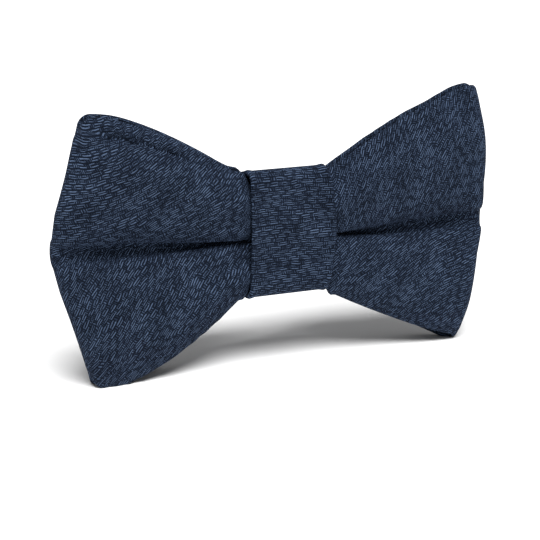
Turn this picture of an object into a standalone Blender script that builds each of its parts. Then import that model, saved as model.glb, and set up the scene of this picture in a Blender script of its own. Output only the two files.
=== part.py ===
"""Pre-tied bow tie with an adjustable neck band folded away behind its wings.

A flat sleeve of cloth with canvas inside makes one loop to the left and one to the right. It is
pleated and bound at the waist, and a band of the same cloth wraps the waist as the knot. The neck
band runs through the back of the knot and is folded to and fro behind each wing. Its left end
turns round the hook and comes back to the sliding adjuster, and its right end holds the eye.

X runs to the viewer's right, the front faces -Y and +Z is up. The origin is on the surface that
the bow stands on, under the middle of its bounding box. Sizes are in millimetres, times MM.
"""

import itertools
import math

import bmesh
import bpy
import numpy as np

MM = 0.001
LEFT, RIGHT = -1, 1
GAP = 0.3  # between pieces that touch

# Wings: half widths from the knot's middle, and heights above the surface
MID_HALF = 57.6
TOP_HALF = {LEFT: 51.6, RIGHT: 53.8}
BOTTOM_HALF = {LEFT: 50.8, RIGHT: 50.8}
CORNER_TOP = {LEFT: 65.9, RIGHT: 67.1}
NECK_TOP = 49.4
NECK_BOTTOM = {LEFT: 18.9, RIGHT: 17.4}
TOP_SWELL = {LEFT: 1.29, RIGHT: 1.42}  # 1 is a straight edge, and more bows it outwards
BOTTOM_SWELL = {LEFT: 2.05, RIGHT: 1.08}
BACK_BOTTOM_SWELL = {LEFT: 2.4, RIGHT: 1.6}
SETTLED = 1.0  # how far the front's lower edges would sink if the surface did not flatten them
BACK_SETTLED = 2.4
CORNER_RADIUS = {LEFT: 4.5, RIGHT: 3.0}
PLEAT_Z = {LEFT: (31.6, 34.0), RIGHT: (30.9, 32.8)}  # at the knot, and at the outer edge

# Cloth
SLEEVE = 2.4  # thickness of the whole sleeve
WALL = 0.55
CANVAS = 0.7
FOLD_RADIUS = 1.9  # of the sleeve's middle surface, at a wing's outer edge
LIP = 0.7  # how far the sleeve's sewn edge stands past its middle surface

# Waist, where the sleeve is pinched inside the knot
WAIST_TOP, WAIST_BOTTOM = 46.3, 22.3
FRONT_WAIST_Y = -5.4
BACK_WAIST_Y = {LEFT: -2.6, RIGHT: 0.2}
OVERLAP_X = 6.0  # how far each back end runs past the middle

# Knot
KNOT_HALF = 11.15
KNOT_TOP, KNOT_BOTTOM = 50.5, 18.1
KNOT_FRONT_Y, KNOT_BACK_Y = -10.0, 5.3
KNOT_CLOTH = 1.4
KNOT_CANVAS = 0.7
THREAD = 0.5

# Neck band
TAPE = 0.9
TAPE_LOW, TAPE_HIGH = 25.2, 43.2
LAYER_Y = (3.1, 4.9, 6.7, 9.3)
OUTER_TURN, INNER_TURN = 47.0, 16.5
BAR_X = 15.2  # the bars that the band's two ends turn round
BAR_TURN = 1.5

# Hardware, stamped from flat steel
PLATE = 0.6
BAR_WIDTH = 1.4
RAIL = 1.7
SLOT_HALF = (TAPE_HIGH - TAPE_LOW) / 2 + 0.4
SLOT_WIDTH = 1.7
ADJUSTER_X = -34.0
ADJUSTER_HALF = 4.6
ADJUSTER_TURN = 1.45

TAPE_MID = (TAPE_LOW + TAPE_HIGH) / 2
BAR_Y = LAYER_Y[3] + BAR_TURN
ADJUSTER_Y = LAYER_Y[3] + TAPE + GAP + ADJUSTER_TURN
BACKMOST_Y = ADJUSTER_Y + ADJUSTER_TURN + TAPE / 2
MIDDLE_Y = (KNOT_FRONT_Y + BACKMOST_Y) / 2

CLOTH_BLUE = (0.024, 0.034, 0.056)
TAPE_BLUE = (0.020, 0.028, 0.048)
CANVAS_CREAM = (0.62, 0.57, 0.47)
THREAD_NAVY = (0.014, 0.018, 0.030)
STEEL_GREY = (0.62, 0.62, 0.60)


def material(name, colour, roughness, metallic=0.0):
    made = bpy.data.materials.new(name)
    made.use_nodes = True
    shader = made.node_tree.nodes["Principled BSDF"]
    shader.inputs["Base Color"].default_value = (*colour, 1)
    shader.inputs["Roughness"].default_value = roughness
    shader.inputs["Metallic"].default_value = metallic
    return made


def add_object(name, points, faces, finish, smooth=True):
    """A mesh object from points in millimetres, closed, with its faces pointing out."""
    mesh = bpy.data.meshes.new(name)
    shifted = (np.asarray(points, float) - (0, MIDDLE_Y, 0)) * MM
    mesh.from_pydata(shifted.tolist(), [], faces)
    work = bmesh.new()
    work.from_mesh(mesh)
    bmesh.ops.recalc_face_normals(work, faces=work.faces)
    work.to_mesh(mesh)
    work.free()
    if smooth:
        mesh.shade_smooth()
        mesh.set_sharp_from_angle(angle=math.radians(40))
    mesh.materials.append(finish)
    made = bpy.data.objects.new(name, mesh)
    bpy.context.scene.collection.objects.link(made)
    return made


def unite(base, others):
    """Boolean unions, with the joined shapes kept as hidden helpers."""
    for other in others:
        other.hide_render = True
        other.display_type = "WIRE"
        joined = base.modifiers.new("Join " + other.name, "BOOLEAN")
        joined.operation = "UNION"
        joined.object = other
    return base


# Curves and steps that the wings are made from


def step(value, low, high):
    """0 before low, 1 after high, and smooth between them."""
    t = min(max((value - low) / (high - low), 0.0), 1.0)
    return t * t * (3 - 2 * t)


def swell(t, power):
    return 1 - (1 - min(max(t, 0.0), 1.0)) ** power


def mix(a, b, t):
    return a + (b - a) * t


def outer_half(side, v):
    """Half width of a wing's outer edge. v runs from -1 at the bottom, past the pleat at 0, to 1."""
    if v > 0:
        return mix(MID_HALF, TOP_HALF[side], v**1.35)
    return mix(MID_HALF, BOTTOM_HALF[side], (-v) ** 0.85)


def corner_drop(a, half, radius):
    """How far a rounded corner stays inside a square one, at a from the knot's middle."""
    past = min(max(a - (half - radius), 0.0), radius)
    return radius - math.sqrt(radius**2 - past**2)


def top_edge(side, a):
    half = TOP_HALF[side]
    start = KNOT_HALF + 2.4
    neck = mix(WAIST_TOP, NECK_TOP, step(a, KNOT_HALF + 0.3, start))
    wing = swell((a - start) / (half - start), TOP_SWELL[side])
    return mix(neck, CORNER_TOP[side], wing) - corner_drop(a, half, CORNER_RADIUS[side])


def bottom_edge(side, a, back):
    half = BOTTOM_HALF[side]
    power = mix(BOTTOM_SWELL[side], BACK_BOTTOM_SWELL[side], back)
    settled = mix(SETTLED, BACK_SETTLED, back)
    start = KNOT_HALF + 2.4
    neck = mix(WAIST_BOTTOM, NECK_BOTTOM[side], step(a, KNOT_HALF + 0.3, start))
    wing = swell((a - start) / (half - start), power)
    rounded = corner_drop(a, half, 2.5) if side == LEFT else 0.0
    return max(mix(neck, LIP - settled, wing) + rounded, LIP)


def height(side, a, v, back=0.0):
    """Height of the sleeve's middle surface. back is 1 on the ply behind, whose lower edge is fuller."""
    pleat = mix(*PLEAT_Z[side], min(a / MID_HALF, 1.0))
    if v >= 0:
        return mix(pleat, top_edge(side, a), v)
    return mix(pleat, bottom_edge(side, a, back), -v)


def front_y(a, half, v):
    """Depth of the front ply: two lobes with the pleat's valley between them."""
    g = a / half
    out = step(a, KNOT_HALF + 0.3, 17)
    crown = mix(FRONT_WAIST_Y, mix(-7.7, -7.1, g), out)
    valley = mix(FRONT_WAIST_Y, mix(-3.9, -3.2, g), step(a, KNOT_HALF + 0.3, 16))
    return mix(valley, crown, swell(abs(v), mix(3.4, 1.6, g)))


def back_y(side, a, half, v):
    """Depth of the back ply, which draws away from the front one behind the outer fold."""
    edge = 0.8 if v > 0 else 3.4
    open_ply = 0.5 + (edge - 0.5) * abs(v) ** 1.6
    at_fold = front_y(half, half, v) + 2 * FOLD_RADIUS
    y = open_ply - (open_ply - at_fold) * math.exp(-(half - a) / 4.5)
    return mix(BACK_WAIST_Y[side], y, step(a, KNOT_HALF + 0.3, 15.5))


# The sleeve's middle surface, from its left back end round both loops to its right back end

WING_STATIONS = (0.0, 0.09, 0.17, 0.215, 0.25, 0.3, 0.38, 0.5, 0.64, 0.78, 0.9, 1.0)
FOLD_ANGLES = (-60, -20, 20, 60)
BACK_STATIONS = (1.0, 0.93, 0.86, 0.79, 0.7, 0.56, 0.4, 0.3, 0.25, 0.205, 0.12, 0.0)


def front_point(side, g, v):
    half = outer_half(side, v)
    a = (half - FOLD_RADIUS) * g
    return (side * a, front_y(a, half, v), height(side, a, v))


def fold_point(side, degrees, v):
    half = outer_half(side, v)
    turn = math.radians(degrees)
    a = half - FOLD_RADIUS + FOLD_RADIUS * math.cos(turn)
    y = front_y(half, half, v) + FOLD_RADIUS * (1 + math.sin(turn))
    return (side * a, y, height(side, a, v, back=(degrees + 90) / 180))


def back_point(side, g, v):
    half = outer_half(side, v)
    a = (half - FOLD_RADIUS) * g
    y = back_y(side, a, half - FOLD_RADIUS, v)
    return (side * a, y, height(side, a, v, back=1.0))


def overlap_point(side, v):
    return (-side * OVERLAP_X, BACK_WAIST_Y[side], height(side, 0.0, v, back=1.0))


def middle_surface(levels, trim=0.0):
    """Rows of points, one row for each station along the sleeve, with a point at each level."""

    def wing_back(side):
        return [[back_point(side, g, v) for v in levels] for g in BACK_STATIONS]

    def fold(side):
        return [[fold_point(side, angle, v) for v in levels] for angle in FOLD_ANGLES]

    def wing_front(side, stations):
        return [[front_point(side, g, v) for v in levels] for g in stations]

    rows = [[overlap_point(LEFT, v) for v in levels]]
    rows += wing_back(LEFT)[::-1] + fold(LEFT)[::-1] + wing_front(LEFT, WING_STATIONS[::-1])
    rows += wing_front(RIGHT, WING_STATIONS[1:]) + fold(RIGHT) + wing_back(RIGHT)
    rows += [[overlap_point(RIGHT, v) for v in levels]]
    surface = np.array(rows)
    surface[0, :, 0] -= trim
    surface[-1, :, 0] += trim
    return surface


def normals_of(surface):
    across = np.gradient(surface, axis=1)
    along = np.gradient(surface, axis=0)
    normal = np.cross(along, across)
    return normal / np.linalg.norm(normal, axis=2, keepdims=True)


def rings_of(surface, half_thickness, lip):
    """Closed rings of points round the sleeve, one for each station, with a flat-bottomed sewn edge."""
    away = normals_of(surface) * half_thickness
    outer, inner = surface + away, surface - away
    if not lip:
        return np.concatenate([outer, inner[:, ::-1]], axis=1)
    up = np.array((0, 0, lip))
    level = away * (0.6, 0.6, 0)
    top = [surface[:, -1:] + up + side * level[:, -1:] for side in (1, -1)]
    bottom = [surface[:, :1] - up + side * level[:, :1] for side in (-1, 1)]
    rings = np.concatenate([outer, *top, inner[:, ::-1], *bottom], axis=1)
    rings[:, :, 2] = np.maximum(rings[:, :, 2], 0.0)
    return rings


def skin(rings, first, caps):
    """Quads along rings of points whose numbering starts at first, and caps over both ends."""
    count, around = len(rings), len(rings[0])

    def number(ring, place):
        return first + ring * around + place % around

    faces = [
        (number(k, j), number(k, j + 1), number(k + 1, j + 1), number(k + 1, j))
        for k in range(count - 1)
        for j in range(around)
    ]
    if caps:
        half = around // 2
        for k in (0, count - 1):
            faces += [
                (number(k, j), number(k, j + 1), number(k, around - 2 - j), number(k, around - 1 - j))
                for j in range(half - 1)
            ]
    return faces


SLEEVE_LEVELS = (-1, -0.62, -0.3, -0.1, 0, 0.1, 0.3, 0.62, 1)
INSIDE_SHARE = 0.955  # how far up and down the hollow reaches, of the sleeve's half height
CANVAS_SHARE = 0.91


def with_edge_points(rings):
    """The same rings with two more points across their upper and their lower edge."""
    half = rings.shape[1] // 2
    front, back = rings[:, :half], rings[:, half:]
    top = [mix(front[:, -1:], back[:, :1], t) for t in (1 / 3, 2 / 3)]
    bottom = [mix(back[:, -1:], front[:, :1], t) for t in (1 / 3, 2 / 3)]
    return np.concatenate([front, *top, back, *bottom], axis=1)


def sleeve(cloth):
    """A long flat tube of cloth, open at its two hidden ends."""
    outer = rings_of(middle_surface(SLEEVE_LEVELS), SLEEVE / 2, LIP)
    inside = middle_surface(tuple(v * INSIDE_SHARE for v in SLEEVE_LEVELS))
    inner = with_edge_points(rings_of(inside, SLEEVE / 2 - WALL, 0.0))
    around = outer.shape[1]
    faces = skin(outer, 0, caps=False) + skin(inner, outer.shape[0] * around, caps=False)
    for k in (0, outer.shape[0] - 1):
        for j in range(around):
            near, far = k * around + j, k * around + (j + 1) % around
            shift = outer.shape[0] * around
            faces.append((near, far, far + shift, near + shift))
    points = np.concatenate([outer.reshape(-1, 3), inner.reshape(-1, 3)])
    return add_object("bow_sleeve", points, faces, cloth)


def sleeve_canvas(canvas):
    levels = tuple(v * CANVAS_SHARE for v in SLEEVE_LEVELS)
    rings = rings_of(middle_surface(levels, trim=1.0), CANVAS / 2, 0.0)
    return add_object("bow_interlining", rings.reshape(-1, 3), skin(rings, 0, caps=True), canvas)


# Flat tapes and bands: a path drawn in a plane, given a thickness there and a width across it


def arc(centre, radius, start, end, steps):
    """Points on an arc, in degrees, with both ends."""
    angles = [math.radians(mix(start, end, i / steps)) for i in range(steps + 1)]
    return [(centre[0] + radius * math.cos(t), centre[1] + radius * math.sin(t)) for t in angles]


def band(name, path, thickness, low, high, finish, plane="XY"):
    """A band of that thickness along a path in the XY or the YZ plane, from low to high across it."""
    path = np.array(path, float)
    along = np.zeros_like(path)
    steps = np.diff(path, axis=0)
    steps /= np.linalg.norm(steps, axis=1, keepdims=True)
    along[1:-1] = steps[:-1] + steps[1:]
    along[0], along[-1] = steps[0], steps[-1]
    along /= np.linalg.norm(along, axis=1, keepdims=True)
    across = np.stack([-along[:, 1], along[:, 0]], axis=1) * thickness / 2
    turn = np.ones(len(path))
    turn[1:-1] = np.sqrt((1 + (steps[:-1] * steps[1:]).sum(axis=1)) / 2)
    across /= turn[:, None]
    rings = []
    for centre, offset in zip(path, across):
        left, right = centre + offset, centre - offset
        corners = ((left, low), (left, high), (right, high), (right, low))
        rings.append([to_space(flat, level, plane) for flat, level in corners])
    points = [point for ring in rings for point in ring]
    return add_object(name, points, skin(rings, 0, caps=True), finish)


def to_space(flat, level, plane):
    return (flat[0], flat[1], level) if plane == "XY" else (level, flat[0], flat[1])


def block(name, low, high, finish):
    """A box between two corners."""
    points = list(itertools.product(*zip(low, high)))
    faces = [(0, 1, 3, 2), (4, 6, 7, 5), (0, 4, 5, 1), (2, 3, 7, 6), (0, 2, 6, 4), (1, 5, 7, 3)]
    return add_object(name, points, faces, finish, smooth=False)


def thread(name, points, finish):
    """A sewing thread along points in millimetres."""
    curve = bpy.data.curves.new(name, "CURVE")
    curve.dimensions = "3D"
    curve.bevel_depth = THREAD / 2 * MM
    curve.bevel_resolution = 1
    curve.use_fill_caps = True
    spline = curve.splines.new("POLY")
    spline.points.add(len(points) - 1)
    for place, (x, y, z) in zip(spline.points, points):
        place.co = (x * MM, (y - MIDDLE_Y) * MM, z * MM, 1)
    curve.materials.append(finish)
    made = bpy.data.objects.new(name, curve)
    bpy.context.scene.collection.objects.link(made)
    return made


# Waist and knot


def waist_binding(finish):
    """Four turns of thread wound tightly round the pinched plies."""
    turns, pitch, corner = 4, 1.1, 0.8
    half_y = (BACK_WAIST_Y[RIGHT] - FRONT_WAIST_Y + SLEEVE + THREAD) / 2 + GAP - 0.05 - corner
    half_z = (WAIST_TOP - WAIST_BOTTOM + THREAD) / 2 + LIP + GAP - corner
    middle_y = (BACK_WAIST_Y[RIGHT] + FRONT_WAIST_Y) / 2
    middle_z = (WAIST_TOP + WAIST_BOTTOM) / 2
    around = []
    for y, z, start in ((1, 1, 0), (-1, 1, 90), (-1, -1, 180), (1, -1, 270)):
        centre = (middle_y + y * half_y, middle_z + z * half_z)
        around += arc(centre, corner, start, start + 90, 3)
    points = [
        ((turn + i / len(around) - turns / 2) * pitch, y, z)
        for turn in range(turns)
        for i, (y, z) in enumerate(around)
    ]
    return thread("waist_binding", points, finish)


FLAP_Y = KNOT_BACK_Y + GAP + KNOT_CLOTH / 2
FLAP_END = 26.0
LAP_HIGH, LAP_LOW = 40.5, 35.0  # where the lap leaves the layer under it
QUARTERS = (0, 0.25, 0.5, 0.75, 1)


def knot_path(inset, radius):
    """The knot's outline in the YZ plane, from its back down and round under, up the front and over."""
    front, back = KNOT_FRONT_Y + inset, KNOT_BACK_Y - inset
    low, high = KNOT_BOTTOM + inset, KNOT_TOP - inset
    path = arc((back - radius, low + radius), radius, 0, -90, 5)
    path += arc((front + radius, low + radius), radius, -90, -180, 5)
    path += arc((front + radius, high - radius), radius, 180, 90, 5)
    path += arc((back - radius, high - radius), radius, 90, 0, 5)
    return path


def knot_band(cloth):
    """One strip of cloth wrapped round the waist, its upper end lapped over the lower one behind."""
    middle = KNOT_CLOTH / 2
    inner_y = KNOT_BACK_Y - middle
    lapped = [(mix(inner_y, FLAP_Y, step(t, 0, 1)), mix(LAP_HIGH, LAP_LOW, t)) for t in QUARTERS]
    path = [(inner_y, 31.5)] + knot_path(middle, 3.2) + lapped + [(FLAP_Y, FLAP_END)]
    return band("knot_band", path, KNOT_CLOTH, -KNOT_HALF, KNOT_HALF, cloth, plane="YZ")


def knot_canvas(canvas):
    """Stiffening behind the knot's front, top and bottom."""
    inset = KNOT_CLOTH + GAP + KNOT_CANVAS / 2
    half = KNOT_HALF - 0.8
    path = knot_path(inset, 2.0)[5:-5]
    return band("knot_interlining", path, KNOT_CANVAS, -half, half, canvas, plane="YZ")


def whip_stitch(finish):
    """One thread that closes the knot's lap, over and over its edge."""
    stitches, pitch = 9, 2.1
    over = FLAP_Y + KNOT_CLOTH / 2 + GAP / 2 + THREAD / 2
    under = KNOT_BACK_Y + GAP / 2 + THREAD / 2
    points = []
    for i in range(stitches):
        x = (i - (stitches - 1) / 2) * pitch
        points += [(x, over, FLAP_END + 1.8), (x, over, FLAP_END + 0.2)]
        points += [(x + 0.1, over - 0.6, FLAP_END - 0.5), (x + 0.3, under, FLAP_END - 1.2)]
        points += [(x + 0.6, under, FLAP_END - 2.0), (x + 1.0, under, FLAP_END - 1.2)]
        points += [(x + 1.4, over - 0.6, FLAP_END - 0.5), (x + 1.6, over, FLAP_END + 0.2)]
    return thread("knot_whip_stitch", points, finish)


# Neck band and its hardware


def folded_half(side):
    """The neck band's path from the knot's middle, out and back behind one wing, to its end turn."""
    first, second, third, fourth = LAYER_Y
    path = [(0.0, first)]
    turns = (
        (OUTER_TURN, first, second, -90, 90),
        (INNER_TURN, second, third, -90, -270),
        (OUTER_TURN, third, fourth, -90, 90),
    )
    for x, low, high, start, end in turns:
        path += arc((x, (low + high) / 2), (high - low) / 2, start, end, 6)
    end_turn = arc((BAR_X, BAR_Y), BAR_TURN, -90, -270, 8)
    return [(side * x, y) for x, y in path], [(side * x, y) for x, y in end_turn]


def sewn_return():
    """Past the eye, the band's right end comes back and is sewn down flat."""
    rest = LAYER_Y[3] + TAPE + GAP
    start = BAR_Y + BAR_TURN
    ease = [(BAR_X + mix(1.5, 8.0, t), mix(start, rest, step(t, 0, 1))) for t in QUARTERS]
    return ease + [(BAR_X + 13.0, rest)]


def neck_band(tape):
    left, left_end = folded_half(LEFT)
    right, right_end = folded_half(RIGHT)
    last = [(-BAR_X - 1.8, BAR_Y + BAR_TURN)]
    path = (left + left_end + last)[::-1] + right[1:] + right_end + sewn_return()
    return band("neck_band", path, TAPE, TAPE_LOW, TAPE_HIGH, tape)


def band_return(tape):
    """The doubled end of the neck band, from the hook back to the adjuster's middle bar."""
    start, top = BAR_Y + BAR_TURN, ADJUSTER_Y + ADJUSTER_TURN
    path = [(-BAR_X - 1.8 - GAP, start), (-24.0, start)]
    path += [(mix(-24.0, ADJUSTER_X, t), mix(start, top, step(t, 0, 1))) for t in (0.25, 0.5, 0.75)]
    path += arc((ADJUSTER_X, ADJUSTER_Y), ADJUSTER_TURN, 90, 270, 8)
    path += [(ADJUSTER_X + 7.0, ADJUSTER_Y - ADJUSTER_TURN)]
    return band("band_return", path, TAPE, TAPE_LOW, TAPE_HIGH, tape)


def cross_bar(name, x, y, width, steel):
    """A bar that runs the height of the hardware."""
    reach = SLOT_HALF + RAIL
    low = (x - width / 2, y - PLATE / 2, TAPE_MID - reach)
    high = (x + width / 2, y + PLATE / 2, TAPE_MID + reach)
    return block(name, low, high, steel)


def rails(name, path, steel):
    """The two side rails of a piece of hardware, one past each edge of the band."""
    made = []
    for label, low in (("low", -SLOT_HALF - RAIL), ("high", SLOT_HALF)):
        base = TAPE_MID + low
        made.append(band(f"{name}_{label}", path, PLATE, base, base + RAIL, steel))
    return made


def adjuster(steel):
    """A slide with its middle bar raised behind the band and its two end bars in front of it."""
    front = LAYER_Y[3] - TAPE / 2 - 0.45 - PLATE / 2
    reach = ADJUSTER_HALF - 0.5
    arch = [
        (ADJUSTER_X + reach * t, mix(front, ADJUSTER_Y, (1 + math.cos(math.pi * t)) / 2))
        for t in (-1.12, -0.85, -0.65, -0.45, -0.25, 0, 0.25, 0.45, 0.65, 0.85, 1.12)
    ]
    arch[0] = (ADJUSTER_X - ADJUSTER_HALF - 0.2, front)
    arch[-1] = (ADJUSTER_X + ADJUSTER_HALF + 0.2, front)
    base = cross_bar("adjuster", ADJUSTER_X, ADJUSTER_Y, 1.2, steel)
    ends = [
        cross_bar(f"adjuster_bar_{label}", ADJUSTER_X + side * reach, front, BAR_WIDTH, steel)
        for label, side in (("left", LEFT), ("right", RIGHT))
    ]
    return unite(base, rails("adjuster_rail", arch, steel) + ends)


def end_plate(name, side, steel, inner):
    """The bar, rails and web that hook and eye share. inner is how far from its bar the plate ends."""
    bar = cross_bar(name, side * BAR_X, BAR_Y, BAR_WIDTH, steel)
    slot_end = BAR_X - BAR_WIDTH / 2 - SLOT_WIDTH
    web = cross_bar(f"{name}_web", side * (slot_end - 1.0), BAR_Y, 2.0, steel)
    path = [(side * BAR_X, BAR_Y), (side * (BAR_X - inner), BAR_Y)]
    return bar, [web] + rails(f"{name}_rail", path, steel)


def hook(steel):
    """A plate whose tongue turns back on itself behind the bow."""
    bar, others = end_plate("hook", LEFT, steel, inner=3.6)
    tip = 4.6
    path = [(-BAR_X + 3.2, BAR_Y)]
    path += arc((-tip, BAR_Y + 1.2), 1.2, -90, 90, 8) + [(-tip - 4.2, BAR_Y + 2.4)]
    tongue = band("hook_tongue", path, PLATE, TAPE_MID - 3.5, TAPE_MID + 3.5, steel)
    return unite(bar, others + [tongue])


def eye(steel):
    """A plate with a long window that the hook's tongue catches in."""
    reach = 11.4
    bar, others = end_plate("eye", RIGHT, steel, inner=reach)
    rim = cross_bar("eye_rim", BAR_X - reach + 0.4, BAR_Y, 2.0, steel)
    return unite(bar, others + [rim])


def main():
    for leftover in list(bpy.data.objects):
        bpy.data.objects.remove(leftover)
    cloth = material("navy_hopsack", CLOTH_BLUE, 0.9)
    tape = material("navy_band_cotton", TAPE_BLUE, 0.85)
    canvas = material("canvas", CANVAS_CREAM, 0.95)
    cotton_thread = material("navy_thread", THREAD_NAVY, 0.7)
    steel = material("nickel_steel", STEEL_GREY, 0.3, metallic=1.0)
    sleeve(cloth)
    sleeve_canvas(canvas)
    waist_binding(cotton_thread)
    knot_band(cloth)
    knot_canvas(canvas)
    whip_stitch(cotton_thread)
    neck_band(tape)
    band_return(tape)
    adjuster(steel)
    hook(steel)
    eye(steel)


main()
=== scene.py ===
"""Looks of the pre-tied bow tie: fine cloth, thread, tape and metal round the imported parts.

The wings, the knot and the neck band repeat the part's own curves at a finer step, and add what
cloth does: a pleat that rolls over, gathers at the waist, puckers along seams and soft waves.
X runs to the viewer's right, the front faces -Y and +Z is up. Sizes are in millimetres, times MM.
"""

import math

import bpy
import numpy as np
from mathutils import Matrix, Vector, noise


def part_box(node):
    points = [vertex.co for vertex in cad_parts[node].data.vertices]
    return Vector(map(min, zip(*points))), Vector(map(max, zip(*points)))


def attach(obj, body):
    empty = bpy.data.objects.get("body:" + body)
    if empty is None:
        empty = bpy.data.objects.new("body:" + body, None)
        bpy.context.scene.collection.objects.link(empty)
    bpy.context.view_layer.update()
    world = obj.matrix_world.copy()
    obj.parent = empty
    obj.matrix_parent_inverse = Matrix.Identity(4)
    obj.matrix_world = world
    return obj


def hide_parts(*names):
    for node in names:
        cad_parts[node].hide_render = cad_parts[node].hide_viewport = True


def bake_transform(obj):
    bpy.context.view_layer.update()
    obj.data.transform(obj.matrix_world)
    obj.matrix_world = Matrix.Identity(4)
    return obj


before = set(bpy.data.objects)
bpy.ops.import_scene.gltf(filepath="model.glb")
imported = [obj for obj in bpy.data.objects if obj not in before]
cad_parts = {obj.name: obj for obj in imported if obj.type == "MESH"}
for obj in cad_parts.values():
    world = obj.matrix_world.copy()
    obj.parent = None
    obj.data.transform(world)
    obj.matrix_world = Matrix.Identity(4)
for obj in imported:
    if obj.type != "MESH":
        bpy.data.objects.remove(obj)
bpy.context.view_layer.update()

MM = 0.001
LEFT, RIGHT = -1, 1


def box_mm(node):
    low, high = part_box(node)
    return np.array(low) / MM, np.array(high) / MM


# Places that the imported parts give
knot_low, knot_high = box_mm("knot_band")
tape_low, tape_high = box_mm("neck_band")
adjuster_low, adjuster_high = box_mm("adjuster")

KNOT_HALF = knot_high[0]
KNOT_BOTTOM, KNOT_TOP = knot_low[2], knot_high[2]
KNOT_FRONT_Y = knot_low[1]
TAPE_LOW, TAPE_HIGH = tape_low[2], tape_high[2]
ADJUSTER_X = (adjuster_low[0] + adjuster_high[0]) / 2

# The part's depths are drawn from the waist, and this moves them to the middle of its box
DRAWN_FRONT_Y = -10.0  # the knot's front, as the part draws it
MIDDLE_Y = DRAWN_FRONT_Y - KNOT_FRONT_Y

# Wings: half widths from the knot's middle, and heights above the floor
MID_HALF = {LEFT: 59.6, RIGHT: 56.3}
TOP_HALF = {LEFT: 52.1, RIGHT: 55.0}
BOTTOM_HALF = {LEFT: 51.4, RIGHT: 50.0}
OUTLINE_POWERS = {LEFT: (1.5, 1.0), RIGHT: (0.8, 1.1)}  # how the outer edge curves, up and down
CORNER_TOP = {LEFT: 65.9, RIGHT: 67.1}
NECK_TOP = {LEFT: 49.4, RIGHT: 48.4}  # where each wing comes out of the knot
NECK_BOTTOM = {LEFT: 18.9, RIGHT: 17.4}
TOP_SWELL = {LEFT: 1.53, RIGHT: 1.38}  # 1 is a straight edge, and more bows it outwards
BOTTOM_SWELL = {LEFT: 1.72, RIGHT: 1.22}
BACK_BOTTOM_SWELL = {LEFT: 2.0, RIGHT: 1.0}
SETTLED = {LEFT: 1.0, RIGHT: -1.5}  # how far each foot would sink without the floor
BACK_SETTLED = {LEFT: 2.4, RIGHT: 1.0}
BACK_TOP_LIFT = {LEFT: 0.6, RIGHT: -1.3}  # of the back ply's top edge over the front's
CORNER_RADIUS = {LEFT: 3.2, RIGHT: 1.8}
LEFT_FOOT_RADIUS = 4.5
PLEAT_Z = {LEFT: (31.6, 34.0), RIGHT: (30.9, 32.8)}  # at the knot, and at the outer edge
BLUNTNESS = 0.09  # how far the outer edge's corner at the pleat is rounded off
WING_START = KNOT_HALF + 2.4  # where the edges begin to spread
TOP_STEP = (KNOT_HALF - 1.8, KNOT_HALF + 0.6)  # where the waist's top edge steps up to the wing's
BOTTOM_STEP = (KNOT_HALF - 1.0, KNOT_HALF + 1.2)

# Cloth
SLEEVE = 2.4  # thickness of the whole sleeve
WALL = 0.55
CANVAS = 0.7
FOLD_RADIUS = 1.9
LIP = 0.7  # how far a sewn edge stands out past the sleeve's middle surface
WAIST_TOP, WAIST_BOTTOM = 46.3, 22.3
FRONT_WAIST_Y = -5.4
BACK_WAIST_Y = {LEFT: -2.6, RIGHT: 0.2}
OVERLAP_X = 6.0  # how far each back end of the sleeve runs past the middle
FLOOR_GAP = 0.02


# Small curves


def mix(a, b, t):
    return a + (b - a) * t


def step(value, low, high):
    """0 before low, 1 after high, and smooth between them."""
    t = np.clip((value - low) / (high - low), 0.0, 1.0)
    return t * t * (3 - 2 * t)


def swell(t, power):
    return 1 - (1 - np.clip(t, 0.0, 1.0)) ** power


def bulge(t):
    """0 at 0 and 1 at 1, as a quarter of a circle rises."""
    return np.sqrt(1 - (1 - np.clip(t, 0.0, 1.0)) ** 2)


def hump(value, middle, width):
    """1 at middle, falling smoothly to 0 at width on either side."""
    return 1 - step(np.abs(value - middle), 0, width)


# The sleeve's middle surface, as the part draws it


def outer_half(side, v):
    """Half width of a wing's outer edge. v runs from -1 at the bottom, past the pleat at 0, to 1."""
    share = edge_share(v)
    blunt = (np.hypot(share, BLUNTNESS) - BLUNTNESS) / (math.hypot(1, BLUNTNESS) - BLUNTNESS)
    up_power, down_power = OUTLINE_POWERS[side]
    up = mix(MID_HALF[side], TOP_HALF[side], blunt**up_power)
    down = mix(MID_HALF[side], BOTTOM_HALF[side], blunt**down_power)
    return np.where(v > 0, up, down)


def corner_drop(a, half, radius):
    past = np.clip(a - (half - radius), 0.0, radius)
    return radius - np.sqrt(radius**2 - past**2)


def top_edge(side, a):
    """Height of a wing's top edge, at the distance a from the middle of the bow."""
    half = TOP_HALF[side]
    neck = mix(WAIST_TOP, NECK_TOP[side], step(a, *TOP_STEP))
    wing = swell((a - WING_START) / (half - WING_START), TOP_SWELL[side])
    return mix(neck, CORNER_TOP[side], wing) - corner_drop(a, half, CORNER_RADIUS[side])


def bottom_edge(side, a, back):
    """Height of its bottom edge. back runs from 0 at the front ply to 1 at the back one."""
    half = BOTTOM_HALF[side]
    power = mix(BOTTOM_SWELL[side], BACK_BOTTOM_SWELL[side], back)
    settled = mix(SETTLED[side], BACK_SETTLED[side], back)
    neck = mix(WAIST_BOTTOM, NECK_BOTTOM[side], step(a, *BOTTOM_STEP))
    wing = swell((a - WING_START) / (half - WING_START), power)
    rounded = corner_drop(a, half, LEFT_FOOT_RADIUS) if side == LEFT else 0.0
    return np.maximum(mix(neck, LIP - settled, wing) + rounded, LIP)


def height(side, a, v, back):
    pleat = pleat_height(side, a)
    up = mix(pleat, top_edge(side, a), v)
    down = mix(pleat, bottom_edge(side, a, back), -v)
    return np.where(v >= 0, up, down)


def pleat_height(side, a):
    return mix(*PLEAT_Z[side], np.minimum(a / MID_HALF[side], 1.0))


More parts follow.
